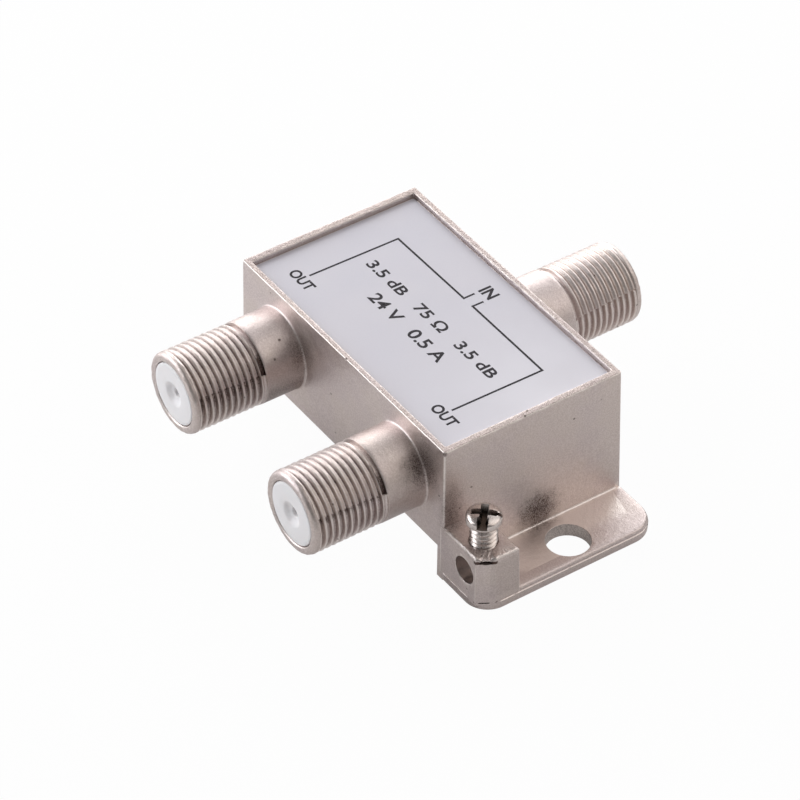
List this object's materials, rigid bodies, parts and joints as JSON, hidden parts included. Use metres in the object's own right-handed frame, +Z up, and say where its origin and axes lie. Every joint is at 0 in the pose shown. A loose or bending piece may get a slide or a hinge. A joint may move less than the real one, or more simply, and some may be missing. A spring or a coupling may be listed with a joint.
{
  "type": "coaxial splitter",
  "caption": "Die-cast coaxial splitter with one threaded input port behind, threaded output ports in front, flat mounting tabs and a ground-wire block with a clamp screw",
  "frame": {"origin": "the middle of the underside of the feet: half way between the two tabs' ends and between the tips of the front and back ports", "axes": "+Z up through the label, +X towards the ground block, -Y towards the output ports, +Y towards the input port"},
  "size_m": [0.0528, 0.0508, 0.0176],
  "materials": {
    "nickel_casting": "satin nickel plating on a fine-grained zinc die casting",
    "printed_label": "smooth pale label with black print",
    "tinned_sheet": "tinned steel sheet, lightly brushed",
    "white_plastic": "smooth natural white moulded plastic",
    "spring_bronze": "bare spring bronze strip",
    "board_laminate": "green solder mask on glass laminate",
    "solder": "smooth bright solder",
    "ferrite": "matt sintered ferrite",
    "enamelled_wire": "glossy enamelled copper wire",
    "resistor_coat": "glossy resistor lacquer",
    "capacitor_coat": "dipped resin coat",
    "bright_screw": "bright nickel plate"
  },
  "bodies": {
    "splitter": {"housing": "nickel_casting", "label": "printed_label", "back_cover": "tinned_sheet", "in_insulator": "white_plastic", "out_left_insulator": "white_plastic", "out_right_insulator": "white_plastic", "in_rear_insulator": "white_plastic", "out_left_rear_insulator": "white_plastic", "out_right_rear_insulator": "white_plastic", "in_contact": "spring_bronze", "out_left_contact": "spring_bronze", "out_right_contact": "spring_bronze", "circuit_board": "board_laminate", "solder_joints": "solder", "matching_core": "ferrite", "matching_winding": "enamelled_wire", "splitting_core": "ferrite", "splitting_winding": "enamelled_wire", "isolation_resistor": "resistor_coat", "in_capacitor": "capacitor_coat", "out_left_capacitor": "capacitor_coat", "out_right_capacitor": "capacitor_coat"},
    "screw": {"ground_screw": "bright_screw"}
  },
  "joints": [
    {"name": "ground_screw_travel", "type": "slide", "parent": "splitter", "child": "screw", "axis": [0, 0, 1], "range_m": [-0.0024, 0.001]}
  ]
}
